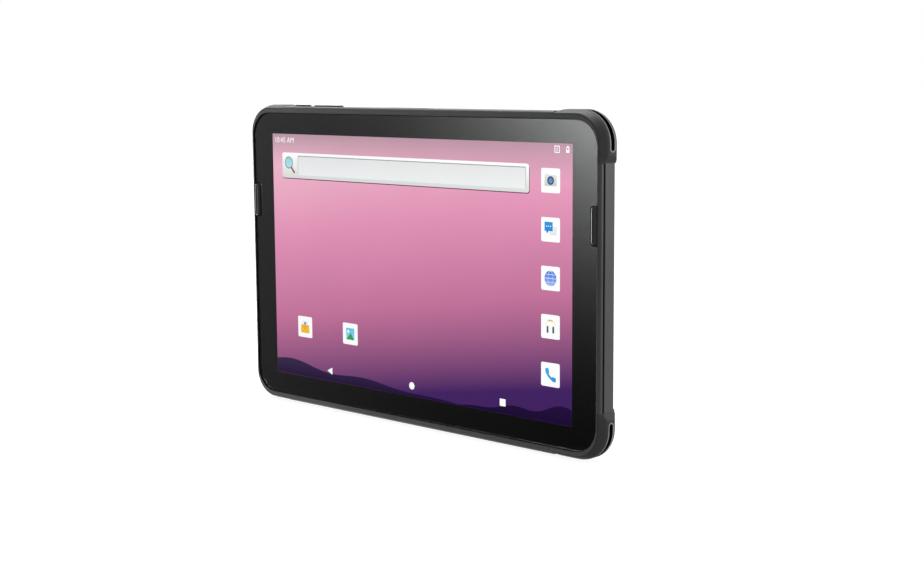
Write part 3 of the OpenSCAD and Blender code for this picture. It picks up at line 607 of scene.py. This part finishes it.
for name, flip in (("bumper_top_right", (1, 1)), ("bumper_top_left", (-1, 1)),
                   ("bumper_bottom_right", (1, -1)), ("bumper_bottom_left", (-1, -1))):
    makeBumper(name, flip)
makeLiners()
print("stage: bumpers")


scanKey = {"cap": 1.3, "cornerRadius": 1.7, "edge": 0.95, "dishInset": 0.45, "dish": 0.1, "stemRadius": 1.1,
           "stemInset": 0.9}


def makeScanKey(node, side):
    # square against the rim, rounded towards the screen, with a broken edge and a shallow dish for the finger
    xs, depths, ys = boxOf(node)
    width, length = xs[1] - xs[0], ys[1] - ys[0]
    bm = bmesh.new()
    bmesh.ops.create_grid(bm, x_segments=1, y_segments=1, size=0.5)
    bmesh.ops.scale(bm, vec=(width * mm, length * mm, 1), verts=bm.verts)
    inner = [v for v in bm.verts if v.co.x * side < 0]
    bmesh.ops.bevel(bm, geom=inner, offset=scanKey["cornerRadius"] * mm, offset_type="OFFSET", segments=8,
                    profile=0.5, affect="VERTICES", material=-1)
    made = bmesh.ops.extrude_face_region(bm, geom=bm.faces[:])["geom"]
    bmesh.ops.translate(bm, vec=(0, 0, scanKey["cap"] * mm), verts=[g for g in made if isinstance(g, bmesh.types.BMVert)])
    top = [g for g in made if isinstance(g, bmesh.types.BMFace)]
    bevelEdges(bm, {e for f in top for e in f.edges}, scanKey["edge"], 3)
    face = max(bm.faces, key=lambda f: f.calc_center_median().z + f.calc_area())
    bmesh.ops.inset_region(bm, faces=[face], thickness=scanKey["dishInset"] * mm, depth=0)
    bmesh.ops.inset_region(bm, faces=[face], thickness=0.3 * mm, depth=-scanKey["dish"] * mm)
    stem = depths[1] - scanKey["cap"]
    bmesh.ops.create_cone(bm, cap_ends=True, segments=24, radius1=scanKey["stemRadius"] * mm,
                          radius2=scanKey["stemRadius"] * mm, depth=stem * mm,
                          matrix=Matrix.Translation((-side * scanKey["stemInset"] * mm, 0,
                                                     -stem / 2 * mm + 0.05 * mm)))
    middle = at(sum(xs) / 2, scanKey["cap"], sum(ys) / 2)
    bmesh.ops.transform(bm, matrix=Matrix.Translation(middle) @ Matrix.Rotation(radians(90), 4, "X"),
                        verts=bm.verts)
    finishPiece("moulded_" + node, bm, bodyOf[node], [materials["key_plastic"]], [node])


makeScanKey("left_scan_key", -1)
makeScanKey("right_scan_key", 1)
print("stage: scan keys")


panelDepth = boxOf("display_panel")[1][0]
colours = {  # bottom and top of each patch
    "white": ("#fbfbfb", "#ffffff"), "bar": ("#d6dad8", "#ffffff"), "field": ("#eef0f0", "#e2e2e3"),
    "shade": ("#74395a", "#74395a"), "line": ("#9a9a9c", "#8a8a8c"), "ring": ("#6f7f88", "#8796a0"),
    "lens": ("#bfe9ee", "#93cfdd"), "handle": ("#8e5a48", "#b3806a"), "grey": ("#c6c7c8", "#e3e3e2"),
    "navy": ("#22303f", "#2f4052"), "iris": ("#5b93d6", "#3f6fb4"), "blue": ("#1583c9", "#1d96dd"),
    "pale": ("#e3e6e9", "#f0f2f4"), "globe": ("#86aef2", "#3a6fdc"), "sky": ("#93d6ea", "#63bfe2"),
    "hill": ("#2c9450", "#43a95f"), "amber": ("#f0b429", "#f9cd55"), "flap": ("#e9a31d", "#f2b63a"),
    "orange": ("#f0a020", "#f6ad2c"), "slate": ("#4d5a61", "#68757c"), "phone": ("#1f95d2", "#35aee6"),
    "dusk": ("#a56c86", "#a56c86"), "ridge": ("#1c0833", "#38244e"), "sweep": ("#180530", "#230b3d"),
}
thickness = 0.01


def plate(width, height, radius=0.0, steps=5):
    def build(part):
        bmesh.ops.create_grid(part, x_segments=1, y_segments=1, size=0.5)
        bmesh.ops.scale(part, vec=(width * mm, height * mm, 1), verts=part.verts)
        if radius:
            bmesh.ops.bevel(part, geom=part.verts[:], offset=radius * mm, offset_type="OFFSET",
                            segments=steps,
                            profile=0.5, affect="VERTICES", material=-1)
    return build


def disc(radius):
    def build(part):
        bmesh.ops.create_circle(part, cap_ends=True, radius=radius * mm, segments=36)
    return build


def arc(radius, width, start, end, tall=1.0):
    # a band spun from one angle to another
    def build(part):
        ends = [part.verts.new(((radius + k * width / 2) * mm * cos(radians(start)),
                                (radius + k * width / 2) * mm * sin(radians(start)), 0)) for k in (-1, 1)]
        edge = part.edges.new(ends)
        bmesh.ops.spin(part, geom=ends + [edge], cent=(0, 0, 0), axis=(0, 0, 1), angle=radians(end - start),
                       steps=24, use_merge=end - start == 360)
        bmesh.ops.scale(part, vec=(tall, 1, 1), verts=part.verts)
    return build


def outline(points):
    def build(part):
        part.faces.new([part.verts.new((x * mm, y * mm, 0)) for x, y in points])
    return build


def stamp(bm, build, x, y, lift, fill, turn=0.0):
    # one flat shape, given its thickness and set lift mm in front of the panel
    part = bmesh.new()
    build(part)
    bmesh.ops.recalc_face_normals(part, faces=part.faces)
    made = bmesh.ops.extrude_face_region(part, geom=part.faces[:])["geom"]
    bmesh.ops.translate(part, vec=(0, 0, thickness * mm), verts=[g for g in made if isinstance(g, bmesh.types.BMVert)])
    for face in part.faces:
        face.material_index = fill
    place = Matrix.Translation(at(x, panelDepth - lift, y)) @ Matrix.Rotation(radians(90), 4, "X")
    bmesh.ops.transform(part, matrix=place @ Matrix.Rotation(radians(turn), 4, "Z"), verts=part.verts)
    shape = bpy.data.meshes.new("shape")
    part.to_mesh(shape)
    part.free()
    bm.from_mesh(shape)
    bpy.data.meshes.remove(shape)


def screenPiece(name, low, high, shapes):
    # shapes are (build, x, y, lift, colour) or the same with a turn; low and high are where the colours run
    bm = bmesh.new()
    used = []
    for build, x, y, lift, colour, *turn in shapes:
        if colour not in used:
            used.append(colour)
        stamp(bm, build, x, y, lift, used.index(colour), *turn)
    fills = [screenMaterial(name + "_" + colour, colours[colour], low, high) for colour in used]
    finishPiece(name, bm, "root", fills, sharp=20)


hills = {"edge": 108.4, "floor": -67.7, "steps": 24, "height": 8.0, "swing": 2.0, "waves": 2.5,
         "leftReach": 150, "rightReach": 78}


def hillside(side, reach):
    # rolling hills, tall at one side of the screen and sinking to nothing
    points = [(side * hills["edge"], hills["floor"])]
    for k in range(hills["steps"] + 1):
        t = k / hills["steps"]
        rise = (hills["height"] + hills["swing"] * sin(2 * pi * hills["waves"] * t)) * (1 - t)
        points.append((side * (hills["edge"] - reach * t), hills["floor"] + rise))
    return points


screenPiece("hills", -68, -57, [
    (outline(hillside(-1, hills["leftReach"])), 0, 0, 0.02, "ridge"),
    (outline(hillside(1, hills["rightReach"])), 0, 0, 0.03, "sweep"),
])

searchBar = {"x": -9.5, "y": 50.5, "width": 182, "height": 14, "fieldX": -4, "fieldWidth": 167,
             "fieldHeight": 10.5,
             "lensX": -95, "lensRise": 1.5}
barX, barY, fieldX = searchBar["x"], searchBar["y"], searchBar["fieldX"]
screenPiece("search_bar", barY - 7, barY + 7, [
    (plate(searchBar["width"] + 0.4, searchBar["height"], 1.6), barX + 0.2, barY - 0.5, 0.02, "shade"),
    (plate(searchBar["width"], searchBar["height"], 1.4), barX, barY, 0.03, "bar"),
    (plate(searchBar["fieldWidth"], searchBar["fieldHeight"], 0.8), fieldX, barY + 0.25, 0.04, "line"),
    (plate(searchBar["fieldWidth"] - 0.5, searchBar["fieldHeight"] - 0.35, 0.7), fieldX, barY, 0.05,
     "field"),
])
lensX, lensY = searchBar["lensX"], barY + searchBar["lensRise"]
screenPiece("search_lens", lensY - 6, lensY + 3.5, [
    (plate(4.6, 1.3, 0.5), lensX + 3.2, lensY - 4, 0.045, "handle", -49),
    (disc(3.2), lensX, lensY, 0.05, "lens"), (arc(3.1, 0.55, 0, 360), lensX, lensY, 0.06, "ring"),
])

# five tiles down the right side and two more at the lower left, all half a pitch wide
tile = {"pitch": 23.5, "radius": 0.9, "columnX": 95, "topY": 50, "rows": 5, "lowerX": (-84, -47),
        "lowerY": -39.5}
columnX, size = tile["columnX"], tile["pitch"] / 2
rowY = [tile["topY"] - k * tile["pitch"] for k in range(tile["rows"])]
tilePlaces = [(columnX, y) for y in rowY] + [(x, tile["lowerY"]) for x in tile["lowerX"]]
screenPiece("app_tiles", -50, 56, [(plate(size, size, tile["radius"]), x, y, 0.03, "white") for x,
                                   y in tilePlaces])
cameraY, speechY, globeY, headphonesY, handsetY = rowY
screenPiece("camera_symbol", cameraY - 3, cameraY + 3.5, [
    (plate(7.6, 5.4, 0.5), columnX, cameraY, 0.04, "grey"),
    (plate(1.6, 0.8, 0.2), columnX - 2.2, cameraY + 3, 0.04, "grey"),
    (disc(2.1), columnX, cameraY, 0.05, "navy"), (disc(1.35), columnX, cameraY, 0.06, "iris"),
])
screenPiece("speech_symbol", speechY - 2.5, speechY + 4, [
    (plate(4.6, 4.2, 0.4), columnX + 1.6, speechY - 0.5, 0.04, "pale"),
    (plate(5.1, 4.4, 0.3), columnX - 1.2, speechY + 1.5, 0.05, "blue"),
    (outline([(-0.9, 0), (0.9, 0), (-0.3, -1.4)]), columnX - 1.9, speechY - 0.6, 0.05, "blue"),
] + [(disc(0.3), columnX + (k - 1) * 1.2, speechY + 1.6, 0.06, "white") for k in (-1, 0, 1)])
screenPiece("globe_symbol", globeY - 4, globeY + 4, [
    (disc(3.75), columnX, globeY, 0.04, "globe"), (arc(3.5, 0.3, 0, 360, 0.45), columnX, globeY, 0.05,
                                                   "pale"),
    (plate(7.2, 0.3), columnX, globeY, 0.06, "pale"),
] + [(plate(6.2, 0.25), columnX, globeY + side * 1.9, 0.06, "pale") for side in (1, -1)])
screenPiece("headphones_symbol", headphonesY - 3.5, headphonesY + 3.5, [
    (arc(3.1, 0.3, 10, 170), columnX, headphonesY, 0.04, "grey"),
    (arc(3.1, 0.75, 62, 118), columnX, headphonesY, 0.05, "orange"),
] + [(plate(1.2, 3.4, 0.4), columnX + side * 1.8, headphonesY - 1.4, 0.05, "slate") for side in (-1, 1)])
screenPiece("handset_symbol", handsetY - 3.5, handsetY + 3.5, [
    (arc(5.0, 1.3, 185, 265), columnX + 2.7, handsetY + 2.7, 0.04, "phone"),
    (plate(2.2, 2.8, 0.5), columnX - 2, handsetY + 1.7, 0.05, "phone", 12),
    (plate(2.8, 2.2, 0.5), columnX + 2.1, handsetY - 2.2, 0.05, "phone", -12),
])
(mailX, mailY), (pictureX, pictureY) = tilePlaces[-2:]
screenPiece("envelope_symbol", mailY - 3.4, mailY + 3.4, [
    (plate(5.2, 4.4, 0.3), mailX, mailY + 1.4, 0.04, "pale"), (disc(0.9), mailX, mailY + 2, 0.05, "ring"),
    (plate(7.0, 4.6, 0.4), mailX, mailY - 1.1, 0.06, "amber"),
    (outline([(-3.3, 2.2), (3.3, 2.2), (0, -0.6)]), mailX, mailY - 1.1, 0.07, "flap"),
])
screenPiece("picture_symbol", pictureY - 3.3, pictureY + 3.3, [
    (plate(6.5, 6.4, 0.3), pictureX, pictureY, 0.04, "sky"),
    (disc(0.75), pictureX - 1.5, pictureY + 1.3, 0.05, "white"),
    (outline([(-3.1, 0), (3.1, 0), (0.4, 3.9)]), pictureX, pictureY - 3.2, 0.06, "hill"),
])

navigation = {"pitch": 64, "y": -62}
screenPiece("navigation_symbols", -64, -59, [
    (outline([(-2, 0), (2, 2), (2, -2)]), -navigation["pitch"], navigation["y"], 0.05, "white"),
    (disc(1.95), 0, navigation["y"], 0.05, "white"),
    (plate(3.9, 3.7, 0.3), navigation["pitch"], navigation["y"], 0.05, "white"),
])

status = {"frameX": 99, "batteryX": 105.5, "y": 65}
frameX, batteryX, statusY = status["frameX"], status["batteryX"], status["y"]
screenPiece("status_symbols", 63, 67, [
    (plate(3.2, 0.45), frameX, statusY + side * 1.5, 0.03, "white") for side in (1, -1)
] + [
    (plate(0.45, 3.4), frameX + side * 1.4, statusY, 0.03, "white") for side in (-1, 1)
] + [
    (plate(1.1, 0.4), frameX, statusY + side * 0.5, 0.03, "white") for side in (1, -1)
] + [
    (plate(2.0, 2.8, 0.4), batteryX, statusY - 0.2, 0.03, "white"),
    (plate(0.9, 0.6, 0.1), batteryX, statusY + 1.4, 0.03, "white"),
    (plate(0.9, 1.0, 0.2), batteryX, statusY + 0.3, 0.045, "dusk"),
])


def clockDigits():
    # plain clock digits at the top left of the screen
    curve = bpy.data.curves.new("clock", "FONT")
    curve.body = "10:45 AM"
    curve.size = 4.2 * mm
    curve.extrude = thickness / 2 * mm
    text = bpy.data.objects.new("clock", curve)
    scene.collection.objects.link(text)
    bpy.context.view_layer.update()
    mesh = bpy.data.meshes.new_from_object(text.evaluated_get(bpy.context.evaluated_depsgraph_get()))
    bpy.data.objects.remove(text)
    bm = bmesh.new()
    bm.from_mesh(mesh)
    place = Matrix.Translation(at(-106.9, panelDepth - 0.03, 63.0)) @ Matrix.Rotation(radians(90), 4, "X")
    bmesh.ops.transform(bm, matrix=place, verts=bm.verts)
    finishPiece("clock_digits", bm, "root", [screenMaterial("clock_white", colours["white"], 63, 66)], sharp=20)


clockDigits()
print("stage: home screen")

for node, part in nodes.items():
    if not part.hide_render:
        part.data.materials.clear()
        part.data.materials.append(materials[slotOf[node]])

def softLight(name, place, target, size, watts):
    data = bpy.data.lights.new(name, "AREA")
    data.shape = "RECTANGLE"
    data.size, data.size_y = size
    data.energy = watts
    light = bpy.data.objects.new(name, data)
    light.location = place
    light.rotation_mode = "QUATERNION"
    light.rotation_quaternion = (Vector(target) - Vector(place)).to_track_quat("-Z", "Y")
    scene.collection.objects.link(light)
    light.visible_camera = False
    return light


view = {"azimuth": 43.27, "elevation": 7.79, "roll": -0.365, "distance": 0.8141, "aim": (30.7, -8.0),
        "lens": 62.06}


def makeCamera():
    data = bpy.data.cameras.new("camera")
    data.lens = view["lens"]
    data.sensor_width = 36
    data.clip_start, data.clip_end = 0.01, 50
    camera = bpy.data.objects.new("camera", data)
    a, e, r = (radians(view[key]) for key in ("azimuth", "elevation", "roll"))
    back = Vector((sin(a) * cos(e), -cos(a) * cos(e), sin(e)))
    level = Vector((cos(a), sin(a), 0))
    up = back.cross(level)
    right = level * cos(r) + up * sin(r)
    top = up * cos(r) - level * sin(r)
    target = Vector((centreX + view["aim"][0] * mm, (cadLow.y + cadHigh.y) / 2,
                     centreZ + view["aim"][1] * mm))
    turn = Matrix((right, top, back)).transposed().to_4x4()
    camera.matrix_world = Matrix.Translation(target + back * view["distance"]) @ turn
    scene.collection.objects.link(camera)
    scene.camera = camera


studio = {
    "fill": 0.45,          # light from all round on matt surfaces
    "glossBase": 0.02, "gloss": [((1, 0.3, 0.1), 2, 0.3), ((0, 0.2, 1), 2, 0.3), ((0, 1, 0.2), 3, 0.5),
                                 ((-0.45, 0.1, 0.9), 10, 1.4), ((-1, 0.25, -0.1), 10, 18.0)],
    # what the black border behind the glass mirrors: bright up to the right, fading to the left and below
    "glassBase": 0.0, "glass": [((-0.543, -0.836, 0.075), 135, 10.1), ((-0.853, -0.492, 0.174), 19, 0.36)],
    "floorGlow": 0.9,
}


def makeWorld():
    world = bpy.data.worlds.new("studio")
    scene.world = world
    world.use_nodes = True
    tree = world.node_tree
    tree.nodes.clear()
    coords = addNode(tree, "ShaderNodeTexCoord")
    path = addNode(tree, "ShaderNodeLightPath")

    def brightness(base, lobes):
        # soft boxes far away: each is a direction, how tight it is, and its strength
        total = addNode(tree, "ShaderNodeValue").outputs[0]
        total.default_value = base
        for direction, tightness, strength in lobes:
            unit = Vector(direction).normalized()
            facing = addNode(tree, "ShaderNodeVectorMath", {"operation": "DOT_PRODUCT", 1: unit},
                             {0: coords.outputs["Generated"]})
            front = addNode(tree, "ShaderNodeMath", {"operation": "MAXIMUM", 1: 0.0},
                            {0: facing.outputs["Value"]})
            lobe = addNode(tree, "ShaderNodeMath", {"operation": "POWER", 1: tightness},
                           {0: front.outputs[0]})
            total = addNode(tree, "ShaderNodeMath", {"operation": "MULTIPLY_ADD", 1: strength},
                            {0: lobe.outputs[0], 2: total}).outputs[0]
        return addNode(tree, "ShaderNodeBackground", {"Color": (1, 1, 1, 1)}, {"Strength": total})

    matt = brightness(studio["fill"], [])
    seen = brightness(1.0, [])
    gloss = brightness(studio["glossBase"], studio["gloss"])
    glass = brightness(studio["glassBase"], studio["glass"])
    mixed = matt
    for flag, shader in (("Is Glossy Ray", gloss), ("Is Transmission Ray", glass), ("Is Camera Ray", seen)):
        mixed = addNode(tree, "ShaderNodeMixShader", links={0: path.outputs[flag], 1: mixed.outputs[0],
                                                            2: shader.outputs[0]})
    addNode(tree, "ShaderNodeOutputWorld", links={"Surface": mixed.outputs[0]})


def makeFloor():
    bm = bmesh.new()
    bmesh.ops.create_circle(bm, cap_ends=True, radius=12, segments=64)
    mesh = bpy.data.meshes.new("studio_floor")
    bm.to_mesh(mesh)
    bm.free()
    material, tree = newMaterial("painted_floor")
    surface = addNode(tree, "ShaderNodeBsdfPrincipled", {"Base Color": (0.35, 0.35, 0.35, 1),
                                                         "Roughness": 0.9,
                                                         "Specular IOR Level": 0.0, "Emission Color": (1, 1, 1, 1),
                                                         "Emission Strength": studio["floorGlow"]})
    addNode(tree, "ShaderNodeOutputMaterial", links={"Surface": surface.outputs[0]})
    mesh.materials.append(material)
    floor = bpy.data.objects.new("studio_floor", mesh)
    floor.location.z = cadLow.z
    scene.collection.objects.link(floor)
    floor.visible_glossy = False
    floor.visible_transmission = False


makeCamera()
makeWorld()
makeFloor()
scene.view_settings.view_transform = "Standard"
softLight("side_light", (0.75, 0.95, 0.3), (0, 0, centreZ), (0.6, 0.6), 2.5)
softLight("top_light", (-0.25, 0.25, 1.1), (0, 0, centreZ), (0.8, 0.8), 9)
print("stage: studio")
